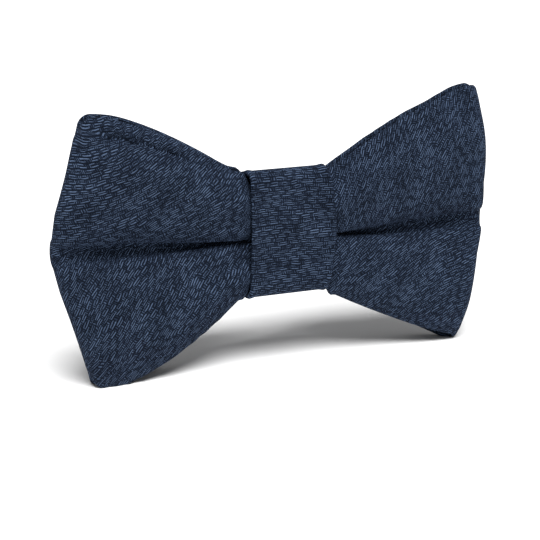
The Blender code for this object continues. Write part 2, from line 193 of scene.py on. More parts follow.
# The pleat, across the sleeve: a turn at its bottom, a wall, and a roll out to each lobe's face
TURN_END, WALL_END, ROLL_END = 0.06, 0.11, 0.26  # of each lobe's levels
TURN_Z, OPEN_TURN_Z = 1.45, 2.9  # the turn's height near the knot, and where the pleat has opened
ROLL_Z, OPEN_ROLL_Z = 3.2, 6.6
TURN_DEPTH, ROLL_DEPTH = 1.3, 2.0  # near the knot
OPEN_TURN_SHARE, OPEN_ROLL_SHARE = 0.4, 0.6  # of the pleat's depth, where it has opened
OPENS = (0.12, 0.75)  # shares of the half width
LOBE = 33.0  # height of a lobe at the outer edge
DEEPEST_Y, NEAREST_Y = -2.6, -8.2  # the pleat's bottom, and the lobes beside it
EDGE_FORWARD, EDGE_POWER = 3.5, 10  # how the bottom comes forward at the outer edge
OVERHANG = 0.55  # how far the pleat runs up, per millimetre of its depth
OVERHANG_FADES = (0.1, 0.5)  # shares of the half width
EMERGE_INSIDE, EMERGE_WIDTH = 1.2, 4.2  # where the lobes come forward, from inside the knot

# Lobes: how far each comes forward and falls back, on the way from the pleat to its edge
UPPER_PUFF, UPPER_PUFF_END, UPPER_FALL = 1.5, 0.9, 3.0
LOWER_INSET, LOWER_PUFF, LOWER_FALL = 1.0, 0.9, 1.0

# Back ply
BACK_Y = 0.5  # level with the pleat
BACK_TOP_Y, BACK_BOTTOM_Y = 0.8, 3.4
BACK_POWER = 1.6
FOLD_EASE = 4.5  # length over which the ply straightens behind the outer fold
BACK_LEAVES_WAIST = (KNOT_HALF + 0.3, 15.5)


def pleat_parts(w):
    """How far each part of the pleat's profile has run, from 0 to 1: turn, wall, roll and face."""
    bounds = (0, TURN_END, WALL_END, ROLL_END, 1)
    return [np.clip((w - low) / (high - low), 0, 1) for low, high in zip(bounds, bounds[1:])]


def pleat_rise(w, opened):
    """Height above the pleat's middle line at each level, while the profile is still in the pleat."""
    turn, _, roll, _ = pleat_parts(w)
    turn_z, roll_z = mix(TURN_Z, OPEN_TURN_Z, opened), mix(ROLL_Z, OPEN_ROLL_Z, opened)
    return turn_z * np.sin(turn * math.pi / 2) + roll_z * (1 - np.cos(roll * math.pi / 2)), turn_z + roll_z


def edge_share(v):
    """How far up or down the outer edge a level lies, from -1 to 1."""
    rise, whole = pleat_rise(np.abs(v), 1.0)
    face = pleat_parts(np.abs(v))[3]
    return np.sign(v) * (rise / LOBE + (1 - whole / LOBE) * face)


def front_shape(side, a, half, v, back=0.0):
    """Depth and height of the front ply: two puffed lobes that meet in the pleat."""
    g, w, up = a / half, np.abs(v), v > 0
    opened = step(g, *OPENS)
    turn, wall, roll, face = pleat_parts(w)
    deepest = DEEPEST_Y - EDGE_FORWARD * g**EDGE_POWER
    depth = deepest - NEAREST_Y
    turn_y = mix(TURN_DEPTH, depth * OPEN_TURN_SHARE, opened)
    roll_y = mix(ROLL_DEPTH, depth * OPEN_ROLL_SHARE, opened)
    inside = deepest - turn_y * (1 - np.cos(turn * math.pi / 2)) - (depth - turn_y - roll_y) * wall
    inside = inside - roll_y * np.sin(roll * math.pi / 2)
    upper = -UPPER_PUFF * np.sin(math.pi * np.clip(face / UPPER_PUFF_END, 0, 1)) + UPPER_FALL * face**2
    lower = LOWER_INSET * (1 - face) ** 2 * step(roll, 0, 1) - LOWER_PUFF * np.sin(math.pi * face)
    lower = lower + LOWER_FALL * face**2
    out = bulge((a - KNOT_HALF + EMERGE_INSIDE) / EMERGE_WIDTH)
    y = mix(FRONT_WAIST_Y, inside + np.where(up, upper, lower), out)
    rise, whole = pleat_rise(w, opened)
    sign = np.where(up, 1.0, -1.0)
    edge = np.where(up, top_edge(side, a), bottom_edge(side, a, back))
    pleat = pleat_height(side, a)
    z = pleat + sign * rise + (edge - pleat - sign * whole) * face
    z = z + OVERHANG * (1 - step(g, *OVERHANG_FADES)) * (inside - NEAREST_Y)
    return y, mix(height(side, a, v, back), z, out)


def back_y(side, a, half, v):
    edge = np.where(v > 0, BACK_TOP_Y, BACK_BOTTOM_Y)
    open_ply = BACK_Y + (edge - BACK_Y) * np.abs(v) ** BACK_POWER
    at_fold = front_shape(side, half, half, v)[0] + 2 * FOLD_RADIUS
    y = open_ply - (open_ply - at_fold) * np.exp(-(half - a) / FOLD_EASE)
    return mix(BACK_WAIST_Y[side], y, step(a, *BACK_LEAVES_WAIST))


# What the cloth adds to it

WAVES = ((0.32, 11.0, 1), (0.12, 4.5, 2))  # depth, size and seed of each kind of soft wave
WAVE_SHIFT = (17.3, 5.1, 9.7)  # in the noise, from one seed to the next
WAVES_GROW = (KNOT_HALF, KNOT_HALF + 8)
PUCKER_DEPTH = 0.14
PUCKER_PHASE, PUCKER_STRAY, STRAY_PHASE = 1.25, 2.2, 0.31  # the phases in radians per mm
PUCKERS_GROW = (14, 22)  # distances from the middle of the bow
BACK_SEED = 2.1  # puckers on the back ply are others than those on the front
GATHER_DEPTH = 0.28
GATHER_REACH = 7.0
GATHER_FOLDS = 9.5  # phase from the pleat to an edge, in radians

# The puckered crease just under the top seam. Levels run from the pleat at 0 to the edge at 1
SEAM_GROOVE = {LEFT: 1.3, RIGHT: 0.2}  # its depth
GROOVE_GROWS, GROOVE_ENDS = (22, 31), (3, 8)  # distances from the middle, and from the outer edge
GROOVE_LEVEL, GROOVE_WIDTH = 0.86, 0.075
SEAM_LEVEL, SEAM_WIDTH, SEAM_SHARE = 0.96, 0.06, 0.45


def wave(points, size, seed):
    """Smooth waves of about that size, from -1 to 1, at each point."""
    flat = points.reshape(-1, 3) / size
    shift = Vector([seed * part for part in WAVE_SHIFT])
    values = [noise.noise(Vector(p) + shift) for p in flat]
    return np.array(values).reshape(points.shape[:-1])


def pucker(a, v, seed):
    """Short ripples along the two sewn edges, where the thread has drawn the cloth up."""
    near = np.abs(v) ** 9
    ripple = np.sin(a * PUCKER_PHASE + PUCKER_STRAY * np.sin(a * STRAY_PHASE + seed) + seed)
    return PUCKER_DEPTH * (near * ripple * step(a, *PUCKERS_GROW))


def gather(a, v, seed):
    """Folds that fan out of the waist and die away."""
    fade = step(a, KNOT_HALF - 1, KNOT_HALF + 1.5) * np.exp(-np.maximum(a - KNOT_HALF, 0) / GATHER_REACH)
    return GATHER_DEPTH * (fade * np.cos(v * GATHER_FOLDS + seed + 0.8 * np.sin(v * 4.0 + seed)))


def seam_groove(side, a, half, v):
    """The crease that runs under the top seam, with the seam puffed out over it."""
    along = step(a, *GROOVE_GROWS) * step(half - a, *GROOVE_ENDS)
    ripple = 0.75 + 0.25 * np.sin(a * 1.9 + 1.6 * np.sin(a * 0.7))
    groove = ripple * hump(v, GROOVE_LEVEL + 0.01 * np.sin(a * 0.9), GROOVE_WIDTH)
    return SEAM_GROOVE[side] * (along * (groove - SEAM_SHARE * hump(v, SEAM_LEVEL, SEAM_WIDTH)))


def front_row(side, g, v):
    half = outer_half(side, v)
    a = (half - FOLD_RADIUS) * g
    y, z = front_shape(side, a, half, v)
    y = y - gather(a, v, 1.3 * side) - pucker(a, v, side) + seam_groove(side, a, half, v)
    return np.stack([side * a, y, z], axis=-1)


def fold_row(side, degrees, v):
    """A row round the outer fold: -90 degrees is the front ply, and 90 the back one."""
    half = outer_half(side, v)
    turn = math.radians(degrees)
    a = half - FOLD_RADIUS + FOLD_RADIUS * math.cos(turn)
    y, z = front_shape(side, a, half, v, (degrees + 90) / 180)
    y = y + FOLD_RADIUS * (1 + math.sin(turn))
    y = y - pucker(a, v, side) * (90 - degrees) / 180
    return np.stack([side * a, y, z], axis=-1)


def back_row(side, g, v):
    half = outer_half(side, v)
    a = (half - FOLD_RADIUS) * g
    from_fold = 1 - g
    y = back_y(side, a, half - FOLD_RADIUS, v) + pucker(a, v, side + BACK_SEED) * step(from_fold, 0, 0.1)
    z = mix(front_shape(side, a, half, v, 1.0)[1], height(side, a, v, 1.0), step(from_fold, 0, 0.3))
    z = z + BACK_TOP_LIFT[side] * np.maximum(v, 0) ** 3 * step(from_fold, 0, 0.2)
    return np.stack([side * a, y, z], axis=-1)


NEAR_KNOT = 0.18  # of the half width


def middle_surface(levels, stations, trim=0.0):
    """Rows of points along the sleeve, from its left back end round both loops to its right one.

    stations counts the rows near the knot, over the wing, round its fold and behind it. Also gives
    the number of the row at the middle of the front."""
    near, wing, fold, behind = stations
    by_knot = np.linspace(0, NEAR_KNOT, near, endpoint=False)
    fronts = np.concatenate([by_knot, np.linspace(NEAR_KNOT, 1, wing)])
    angles = np.linspace(-90, 90, fold + 2)[1:-1]
    backs = np.linspace(1, 0, behind)

    def overlap(side):
        z = height(side, 0.0, levels, 1.0)
        x = np.full_like(levels, -side * (OVERLAP_X - trim))
        return np.stack([x, np.full_like(levels, BACK_WAIST_Y[side]), z], axis=-1)

    def loop(side):
        rows = [front_row(side, g, levels) for g in fronts[1:]]
        rows += [fold_row(side, angle, levels) for angle in angles]
        rows += [back_row(side, g, levels) for g in backs]
        return rows + [overlap(side)]

    rows = loop(LEFT)[::-1] + [front_row(RIGHT, 0.0, levels)] + loop(RIGHT)
    surface = soften(np.array(rows), 1)
    reach = step(np.abs(surface[:, :, 0]), *WAVES_GROW)
    surface[:, :, 1] += reach * sum(depth * wave(surface, size, seed) for depth, size, seed in WAVES)
    return surface, len(rows) // 2


def soften(grid, passes, axis=0):
    """Averages each row with its neighbours along that axis, and leaves both end ones."""
    grid = np.moveaxis(grid, axis, 0)
    for _ in range(passes):
        inner = (grid[:-2] + 2 * grid[1:-1] + grid[2:]) / 4
        grid = np.concatenate([grid[:1], inner, grid[-1:]])
    return np.moveaxis(grid, 0, axis)


def smooth_normals(surface):
    """Normals of a softened copy, so that offsets along them do not cross inside the pleat."""
    soft = soften(surface, 6, axis=1)
    across = np.gradient(soft, axis=1)
    along = np.gradient(soft, axis=0)
    normal = np.cross(along, across)
    return normal / np.linalg.norm(normal, axis=2, keepdims=True)


def rim_turns(count):
    """Angles of that many points between the two sides of a rounded edge."""
    return [math.pi * (i + 1) / (count + 1) for i in range(count)]


def tube_rings(surface, half_thickness, lip, rim_points):
    """Rings round the flat tube: up its outer side, over the top edge, down inside, and back under."""
    normal = smooth_normals(surface)
    outer = surface + normal * half_thickness[None, :, None]
    inner = surface - normal * half_thickness[None, :, None]
    turns = rim_turns(rim_points)

    def edge(column, turn_sign):
        up = np.array((0, 0, turn_sign * lip))
        level = normal[:, column] * (1, 1, 0) * half_thickness[column]
        return [surface[:, column] + up * math.sin(t) + level * math.cos(t) for t in turns]

    top = np.stack(edge(-1, 1), axis=1)
    bottom = np.stack(edge(0, -1)[::-1], axis=1)
    rings = np.concatenate([outer, top, inner[:, ::-1], bottom], axis=1)
    rings[:, :, 2] = np.maximum(rings[:, :, 2], FLOOR_GAP)
    return rings


# Meshes


def quads(count, around, first=0, flip=False):
    """Faces between closed rings of points that are numbered from first."""
    k, j = np.meshgrid(np.arange(count - 1), np.arange(around), indexing="ij")
    far = (j + 1) % around
    corners = [k * around + j, k * around + far, (k + 1) * around + far, (k + 1) * around + j]
    faces = np.stack(corners[::-1] if flip else corners, axis=-1).reshape(-1, 4)
    return faces + first


def closed_run(count, around, first=0, flip=False):
    """The same, with one face over each end."""
    start = [first + j for j in range(around)]
    end = [first + (count - 1) * around + j for j in range(around)]
    ends = [start, end[::-1]] if flip else [start[::-1], end]
    return quads(count, around, first, flip).tolist() + ends


def flat_run(count, around):
    """Faces of a flat tube whose rings start beside its lower edge, with quads over both ends."""
    faces = quads(count, around).tolist()
    for base, order in ((0, -1), ((count - 1) * around, 1)):
        for j in range((around - 1) // 2):
            corners = [j, j + 1, (around - 3 - j) % around, (around - 2 - j) % around]
            corners = list(dict.fromkeys(corners))
            if len(corners) > 2:
                faces.append([base + corner for corner in corners[::order]])
    return faces


def bridge(near, near_count, far, far_count):
    """Faces between a ring of points and a coarser one inside it, both numbered round the same way."""
    faces, i, j = [], 0, 0
    while i < near_count or j < far_count:
        a, b = near + i % near_count, far + j % far_count
        if j >= far_count or (i < near_count and (i + 1) * far_count <= (j + 1) * near_count):
            faces.append((a, b, near + (i + 1) % near_count))
            i += 1
        else:
            faces.append((a, b, far + (j + 1) % far_count))
            j += 1
    return faces


def add_object(name, data):
    made = bpy.data.objects.new(name, data)
    bpy.context.scene.collection.objects.link(made)
    return made


def add_piece(name, points, faces, finish, uvs=None):
    """A mesh from points that still have the drawn depths. uvs gives each face corner's cloth place."""
    mesh = bpy.data.meshes.new(name)
    placed = (np.asarray(points).reshape(-1, 3) - np.array((0, MIDDLE_Y, 0))) * MM
    mesh.from_pydata(placed.tolist(), [], faces)
    if uvs is not None:
        layer = mesh.uv_layers.new(name="cloth")
        layer.data.foreach_set("uv", np.asarray(uvs, np.float32).ravel())
    mesh.shade_smooth()
    mesh.materials.append(finish)
    return add_object(name, mesh)


# Node materials


class Graph:
    """Short ways to add shader nodes to one material."""

    def __init__(self, name):
        self.material = bpy.data.materials.new(name)
        self.material.use_nodes = True
        self.tree = self.material.node_tree
        self.shader = self.tree.nodes["Principled BSDF"]

    def put(self, socket, value):
        if isinstance(value, bpy.types.NodeSocket):
            self.tree.links.new(value, socket)
        else:
            socket.default_value = value

    def node(self, kind, **settings):
        made = self.tree.nodes.new(kind)
        for key, value in settings.items():
            setattr(made, key, value)
        return made

    def math(self, operation, *values):
        made = self.node("ShaderNodeMath", operation=operation)
        for socket, value in zip(made.inputs, values):
            self.put(socket, value)
        return made.outputs[0]

    def add(self, a, b):
        return self.math("ADD", a, b)

    def less(self, a, b):
        return self.math("SUBTRACT", a, b)

    def times(self, a, b):
        return self.math("MULTIPLY", a, b)

    def swing(self, value, amount):
        """The number spread out to that amount, half of it below 0."""
        return self.times(self.less(value, 0.5), amount)

    def count(self, value, pitch):
        """How many whole pitches fit into the number."""
        return self.math("FLOOR", self.math("DIVIDE", value, pitch))

    def ridges(self, value, pitch):
        """0 at each whole pitch, and 1 halfway between two."""
        return self.math("ABSOLUTE", self.math("SINE", self.times(value, math.pi / pitch)))

    def blend(self, a, b, t):
        """Number a where t is 0, and b where it is 1."""
        return self.add(self.times(a, self.less(1.0, t)), self.times(b, t))

    def ease(self, value, low, high):
        made = self.node("ShaderNodeMapRange", interpolation_type="SMOOTHSTEP")
        for socket, given in zip(made.inputs, (value, low, high, 0.0, 1.0)):
            self.put(socket, given)
        return made.outputs[0]

    def vector(self, x, y, z=0.0):
        made = self.node("ShaderNodeCombineXYZ")
        for socket, value in zip(made.inputs, (x, y, z)):
            self.put(socket, value)
        return made.outputs[0]

    def split(self, vector):
        made = self.node("ShaderNodeSeparateXYZ")
        self.put(made.inputs[0], vector)
        return made.outputs

    def random(self, x, y=0.0, z=0.0):
        made = self.node("ShaderNodeTexWhiteNoise")
        self.put(made.inputs["Vector"], self.vector(x, y, z))
        return made.outputs["Value"]

    def noise(self, vector, scale, detail=2.0, roughness=0.5):
        made = self.node("ShaderNodeTexNoise")
        given = {"Vector": vector, "Scale": scale, "Detail": detail, "Roughness": roughness}
        for name, value in given.items():
            self.put(made.inputs[name], value)
        return made.outputs["Fac"]

    def ramp(self, value, stops):
        """A colour for the number, from (place, (r, g, b)) stops."""
        made = self.node("ShaderNodeValToRGB")
        points = made.color_ramp.elements
        while len(points) < len(stops):
            points.new(0.5)
        for point, (place, colour) in zip(points, stops):
            point.position = place
            point.color = (*colour, 1)
        self.put(made.inputs[0], value)
        return made.outputs[0]

    def uv(self):
        return self.node("ShaderNodeUVMap", uv_map="cloth").outputs[0]

    def object_mm(self):
        """The place on the object, in millimetres."""
        made = self.node("ShaderNodeTexCoord")
        scaled = self.node("ShaderNodeVectorMath", operation="SCALE")
        self.put(scaled.inputs[0], made.outputs["Object"])
        scaled.inputs["Scale"].default_value = 1 / MM
        return scaled.outputs[0]

    def bump(self, height_value, millimetres):
        made = self.node("ShaderNodeBump")
        made.inputs["Distance"].default_value = millimetres * MM
        self.put(made.inputs["Height"], height_value)
        self.put(self.shader.inputs["Normal"], made.outputs[0])

    def set(self, **values):
        for name, value in values.items():
            self.put(self.shader.inputs[name.replace("_", " ")], value)
        return self.material


# The bow cloth's weave: rows of floats, with crossing yarns between them
YARN = 0.54  # from one row of floats to the next
REPEAT = 3.1  # from one float to the next in line with it
FLOAT_SHARE = 0.58  # of the repeat
DASH = 0.52  # from one crossing yarn to the next
ALONG_STRAY, ACROSS_STRAY = 3.0, 1.8  # how far the yarns wander
ALONG_STRAY_SCALE, ACROSS_STRAY_SCALE = 0.15, 0.16  # of the noise, per millimetre
PAIR_SHIFT, ROW_SHIFT = 1.2, 1.3  # how unevenly pairs of rows and single rows are staggered
LENGTH_SPREAD = 0.2  # of a float, as a share of the repeat
BLUE_SHEEN = {"Sheen_Roughness": 0.5, "Sheen_Tint": (0.3, 0.45, 0.9, 1.0)}

TWILL = 0.8
CANVAS_YARN = 0.5
THREAD_LAY = math.pi / 7.5  # from one strand of the thread to the next


def weave(g, place):
    """How much light each place of the weave catches, from 0 to 1, and its height. The colour made from it
    is partly painted light: a painted highlight on each yarn's crown and painted shade in the gaps between
    yarns, over each yarn's own uneven tone.
    """
    x, y, _ = g.split(place)
    x = g.add(x, g.swing(g.noise(place, ALONG_STRAY_SCALE), ALONG_STRAY))
    drift = g.noise(g.vector(g.times(x, 0.7), y, 7.0), ACROSS_STRAY_SCALE)
    y = g.add(y, g.swing(drift, ACROSS_STRAY))
    pair, row = g.count(y, 2 * YARN), g.count(y, YARN)
    offset = g.add(g.times(pair, REPEAT / 2), g.times(g.random(pair), PAIR_SHIFT))
    offset = g.add(offset, g.times(g.random(row, 3.0), ROW_SHIFT))
    line = g.math("DIVIDE", g.add(x, offset), REPEAT)
    own = g.random(row, g.math("FLOOR", line), 5.0)

    from_middle = g.math("ABSOLUTE", g.less(g.math("FRACT", line), 0.5))
    reach = g.add(FLOAT_SHARE / 2 - 0.11, g.times(own, LENGTH_SPREAD))
    on_float = g.ease(g.less(reach, from_middle), -0.04, 0.09)
    ridge = g.ridges(y, YARN)
    filament = g.noise(g.vector(g.times(x, 0.8), g.times(y, 5.0), own), 1.6, 2.0, 0.6)
    float_light = g.add(g.add(0.2, g.times(own, 0.4)), g.times(filament, 0.75))
    # painted highlight: the float's colour is brightest along its crown and falls to painted shade at the
    # row's edges, scaled by each float's own tone
    float_light = g.times(g.math("POWER", ridge, 2.6), float_light)

    # crossing yarns get the same painted highlight, brightest at each yarn's middle and painted darker
    # between them
    dash = g.math("POWER", g.ridges(x, DASH), 1.8)
    dash = g.times(dash, g.ease(g.ridges(y, 2 * YARN), 0.1, 0.8))
    dash_own = g.random(g.count(x, DASH), pair, 9.0)
    dash_light = g.times(dash, g.add(0.3, g.times(dash_own, 0.55)))
    return g.blend(dash_light, float_light, on_float), g.blend(g.times(dash, 0.75), ridge, on_float)


def cloth_material(name, dark, middle, light, relief):
    """The bow's cloth: a loose weave in three tones, with fibres and faint patches. Its colour is painted
    lighter on the yarns' crowns and darker between them, as painted highlight and painted shade.
    """
    g = Graph(name)
    place = g.uv()
    shine, surface = weave(g, place)
    fibre = g.noise(place, 4.5, 3.0, 0.75)
    patch = g.noise(place, 0.14)
    shade = g.add(g.add(shine, g.swing(fibre, 1.35)), g.swing(patch, 0.5))
    # colour from painted light: pale on the yarns' painted highlights, dark in the painted shade between
    # yarns; fibres and patches are the cloth's own tone
    colour = g.ramp(shade, [(0.05, dark), (0.42, middle), (1.0, light)])
    g.bump(g.add(surface, g.times(fibre, 0.3)), relief)
    return g.set(
        Base_Color=colour, Roughness=g.less(0.92, g.times(shine, 0.2)), Sheen_Weight=0.04,
        Specular_IOR_Level=0.06, **BLUE_SHEEN,
    )


def tape_material(name, dark, light):
    """Neck band cloth: a fine twill with a lighter fleck."""
    g = Graph(name)
    place = g.uv()
    x, y, _ = g.split(place)
    twill = g.ridges(g.add(x, y), TWILL)
    fleck = g.noise(place, 3.0, 3.0, 0.7)
    surface = g.add(g.times(twill, 0.7), g.times(fleck, 0.5))
    colour = g.ramp(surface, [(0.15, dark), (0.95, light)])
    g.bump(surface, 0.2)
    return g.set(
        Base_Color=colour, Roughness=g.less(0.9, g.times(twill, 0.15)), Sheen_Weight=0.06,
        Specular_IOR_Level=0.12, **BLUE_SHEEN,
    )


def canvas_material():
    """Undyed interlining: a plain one-over-one weave."""
    g = Graph("canvas_weave")
    place = g.object_mm()
    x, _, z = g.split(place)
    across, along = (g.math("SINE", g.times(value, math.pi / CANVAS_YARN)) for value in (x, z))
    surface = g.add(0.5, g.times(g.times(across, along), 0.5))
    fleck = g.noise(place, 0.9, 3.0, 0.6)
    shade = g.add(g.times(surface, 0.6), g.times(fleck, 0.5))
    colour = g.ramp(shade, [(0.2, (0.42, 0.37, 0.28)), (0.9, (0.72, 0.67, 0.56))])
    g.bump(surface, 0.12)
    return g.set(Base_Color=colour, Roughness=g.less(0.98, g.times(surface, 0.1)))


def thread_material():
    """Twisted sewing thread."""
    g = Graph("navy_thread_twist")
    place = g.object_mm()
    x, y, z = g.split(place)
    lay = g.ridges(g.add(g.add(x, z), y), THREAD_LAY)
    fuzz = g.noise(place, 4.0)
    shade = g.add(g.times(lay, 0.7), g.times(fuzz, 0.4))
    colour = g.ramp(shade, [(0.1, (0.02, 0.028, 0.046)), (0.9, (0.09, 0.12, 0.18))])
    g.bump(lay, 0.08)
    return g.set(Base_Color=colour, Roughness=g.less(0.75, g.times(lay, 0.2)), Sheen_Weight=0.2)


def steel_material():
    """Nickel-plated steel: bright, with faint drawing lines and small dull spots."""
    g = Graph("nickel_plate")
    place = g.object_mm()
    x, y, z = g.split(place)
    lines = g.noise(g.vector(g.times(x, 6.0), g.times(y, 6.0), g.times(z, 0.35)), 1.2, 3.0, 0.6)
    spots = g.noise(place, 0.7, 3.0, 0.65)
    rough = g.add(g.add(0.16, g.times(lines, 0.14)), g.times(spots, 0.12))
    colour = g.ramp(spots, [(0.3, (0.52, 0.51, 0.49)), (0.7, (0.66, 0.655, 0.64))])
    g.bump(lines, 0.012)
    return g.set(Base_Color=colour, Roughness=rough, Metallic=1.0)


DARK_BLUE = (0.003, 0.0048, 0.0094)
MID_BLUE = (0.0152, 0.0242, 0.0455)
PALE_BLUE = (0.078, 0.114, 0.186)

bow_finish = cloth_material("navy_hopsack_weave", DARK_BLUE, MID_BLUE, PALE_BLUE, 0.3)
tape_finish = tape_material("navy_band_twill", (0.005, 0.008, 0.016), (0.034, 0.05, 0.088))
canvas_finish = canvas_material()
thread_finish = thread_material()
steel_finish = steel_material()


# Wings

# Grain of each lobe: degrees up from the viewer's right, near the knot and at the outer edge
GRAIN = {(LEFT, 1): (48, 10), (LEFT, -1): (52, 50), (RIGHT, 1): (62, 68), (RIGHT, -1): (42, 24)}
LOBE_CENTRE = (34.0, 16.0)  # from the middle, along the sleeve and across it
BACK_ALONG = 118.0  # along the cloth, from the middle of the front to the back's
RIM_POINTS = 6  # round each sewn edge
SLEEVE_LEVELS, HOLLOW_LEVELS, CANVAS_LEVELS = 113, 33, 41  # points across one ply
SLEEVE_STATIONS, HOLLOW_STATIONS, CANVAS_STATIONS = (5, 120, 13, 64), (3, 30, 7, 20), (3, 56, 9, 34)
HOLLOW_SHARE, CANVAS_SHARE = 0.955, 0.91  # of the way from the pleat to each edge


def cloth_levels(count):
    """Levels across the sleeve, closer together at the pleat and at both edges."""
    t = np.linspace(-1, 1, count)
    return np.sign(t) * (0.55 * np.abs(t) ** 1.5 + 0.45 * np.sin(np.abs(t) * math.pi / 2))


def cloth_thickness(levels):
    """Half the sleeve's thickness: full over the canvas, and thinner at the sewn edges."""
    rim = np.abs(levels) ** 14
    seam = hump(np.abs(levels), 0.93, 0.06)
    return SLEEVE / 2 * (1 - 0.3 * rim) + 0.07 * seam


def sleeve_places(rings, centre, lobe):
    """How far along and across the unrolled cloth each point lies. For lobe 1 that is measured up
    from the pleat, and for lobe -1 down from it."""
    flat_step = np.linalg.norm(np.diff(rings[:, :, :2], axis=0), axis=2)
    along = np.concatenate([np.zeros((1, rings.shape[1])), np.cumsum(flat_step, axis=0)])
    along -= along[centre]
    pleat = SLEEVE_LEVELS // 2
    turned = np.roll(rings, -pleat, axis=1)
    if lobe < 0:
        turned = np.roll(turned[:, ::-1], 1, axis=1)
    side_step = np.linalg.norm(np.diff(turned[:, :, 1:], axis=1), axis=2)
    across = np.concatenate([np.zeros((rings.shape[0], 1)), np.cumsum(side_step, axis=1)], axis=1)
    if lobe < 0:
        across = -np.roll(across, -1, axis=1)[:, ::-1]
    across = np.roll(across, pleat, axis=1) + (rings[:, pleat, 2] - PLEAT_Z[LEFT][0])[:, None]
    return along, across


def grain_places(along, across, lobe):
    """The same places turned to the grain, each lobe by its own angle."""
    side = np.where(along < 0, LEFT, RIGHT)
    out = np.clip((np.abs(along) - 12) / 45, 0, 1)
    near, far = (np.where(side == LEFT, *pair) for pair in zip(GRAIN[LEFT, lobe], GRAIN[RIGHT, lobe]))
    angle = np.radians(mix(near, far, 0.25 + 0.5 * out))
    s = along - side * LOBE_CENTRE[0]
    t = across - lobe * LOBE_CENTRE[1]
    return np.stack([s * np.cos(angle) + t * np.sin(angle), t * np.cos(angle) - s * np.sin(angle)], axis=-1)


def outer_places(rings, centre, faces):
    """Places on the cloth for the corners of the sleeve's outer faces. Behind the folds they are
    measured from the middle of the back, which keeps the weave from stretching."""
    around = rings.shape[1]
    pleat = SLEEVE_LEVELS // 2
    row, column = np.divmod(np.arange(len(faces)), around)
    upper = ((column >= pleat) & (column < pleat + RIM_POINTS + SLEEVE_LEVELS))[:, None, None]
    near, wing, fold, _ = SLEEVE_STATIONS
    behind = (np.abs(row + 0.5 - centre) > near + wing + fold // 2)[:, None, None]
    back_along = np.sign(np.arange(len(rings)) - centre)[:, None] * BACK_ALONG - rings[:, :, 0]

    def lobe_places(lobe):
        front_along, across = sleeve_places(rings, centre, lobe)
        front = grain_places(front_along, across, lobe).reshape(-1, 2)[faces]
        back = grain_places(back_along, across, lobe).reshape(-1, 2)[faces]
        return np.where(behind, back, front)

    return np.where(upper, lobe_places(1), lobe_places(-1)).reshape(-1, 2)


def bow_cloth():
    """The sleeve of both wings: a flat tube with real walls, hollow inside and open at its ends."""
    levels = cloth_levels(SLEEVE_LEVELS)
    surface, centre = middle_surface(levels, SLEEVE_STATIONS)
    rings = tube_rings(surface, cloth_thickness(levels), LIP + 0.3, RIM_POINTS)
    inside, _ = middle_surface(cloth_levels(HOLLOW_LEVELS) * HOLLOW_SHARE, HOLLOW_STATIONS)
    hollow = tube_rings(inside, np.full(HOLLOW_LEVELS, SLEEVE / 2 - WALL), 0.35, 2)
    around, hollow_around = rings.shape[1], hollow.shape[1]
    points = np.concatenate([rings.reshape(-1, 3), hollow.reshape(-1, 3)])
    flat = points[:, (0, 2)]
    first = rings.shape[0] * around
    outer = quads(rings.shape[0], around)
    lining = quads(hollow.shape[0], hollow_around, first, flip=True)
    faces = outer.tolist() + lining.tolist()
    uvs = [outer_places(rings, centre, outer), flat[lining].reshape(-1, 2)]
    for near, far, order in ((0, first, 1), (first - around, len(points) - hollow_around, -1)):
        rim = [face[::order] for face in bridge(near, around, far, hollow_around)]
        faces += rim
        uvs.append(flat[np.array(rim)].reshape(-1, 2))
    return add_piece("bow_cloth", points, faces, bow_finish, np.concatenate(uvs))


def bow_canvas():
    """The interlining inside the sleeve: one strip that follows all of the cloth's shape."""
    surface, _ = middle_surface(cloth_levels(CANVAS_LEVELS) * CANVAS_SHARE, CANVAS_STATIONS, trim=1.0)
    rings = tube_rings(surface, np.full(CANVAS_LEVELS, CANVAS / 2), 0.2, 1)
    return add_piece("bow_canvas", rings, flat_run(*rings.shape[:2]), canvas_finish)


# Knot

KNOT_CLOTH, KNOT_CANVAS = 1.4, 0.7
LINING_HALF = KNOT_HALF - 3.2
LINING_STEP, LINING_TRIM = 0.6, 8  # one step along the lining, and the steps cut off each end
KNOT_TURN, LINING_TURN = 3.2, 1.6  # radii of the corners round the waist
BACK_DROP = 2.2  # how much lower the knot is at the back of its top than at the front
DROP_Y, DROP_Z = (-5, 4), (36, 44)  # where it drops
KNOT_BACK_Y = 5.3
GAP = 0.3
FLAP_Y = KNOT_BACK_Y + GAP + KNOT_CLOTH / 2
FLAP_END = 26.0
LAP_HIGH, LAP_LOW = 40.5, 35.0
INNER_END = 31.5
THREAD = 0.5
KNOT_FRONT = (3.0, 9.0)  # depths between which the knot takes on its front's shape
EDGE_INSET, EDGE_ROUND = 0.7, 0.7
# How far each edge stands out in front: at its belly, all along it, and at its top corner
EDGES_OUT = {RIGHT: (1.9, -0.6, -0.4), LEFT: (-0.5, 0.1, -0.5)}
CROWN, EDGE_ROLL = 0.55, 0.45  # how far the middle stands out, and the edges roll in
KNOT_RIPPLE = 0.12


def arc(centre, radius, start, end, steps):
    angles = np.radians(np.linspace(start, end, steps + 1))
    return [(centre[0] + radius * math.cos(t), centre[1] + radius * math.sin(t)) for t in angles]


def eased(start, end):
    """Points from start to end, even in the first coordinate and smooth in the second."""
    return [
        (mix(start[0], end[0], t), mix(start[1], end[1], float(step(t, 0, 1)))) for t in np.linspace(0, 1, 9)
    ]


def knot_path(inset, radius):
    """Round the waist from behind: down, under, up the front and over the top. Depth, then height."""
    front, back = MIDDLE_Y + KNOT_FRONT_Y + inset, KNOT_BACK_Y - inset
    low, high = KNOT_BOTTOM + inset, KNOT_TOP - inset
    path = arc((back - radius, low + radius), radius, 0, -90, 8)
    path += arc((front + radius, low + radius), radius, -90, -180, 10)
    path += arc((front + radius, high - radius), radius, 180, 90, 10)
    path += arc((back - radius, high - radius), radius, 90, 0, 8)
    return [(y, z - BACK_DROP * float(step(y, *DROP_Y) * step(z, *DROP_Z))) for y, z in path]


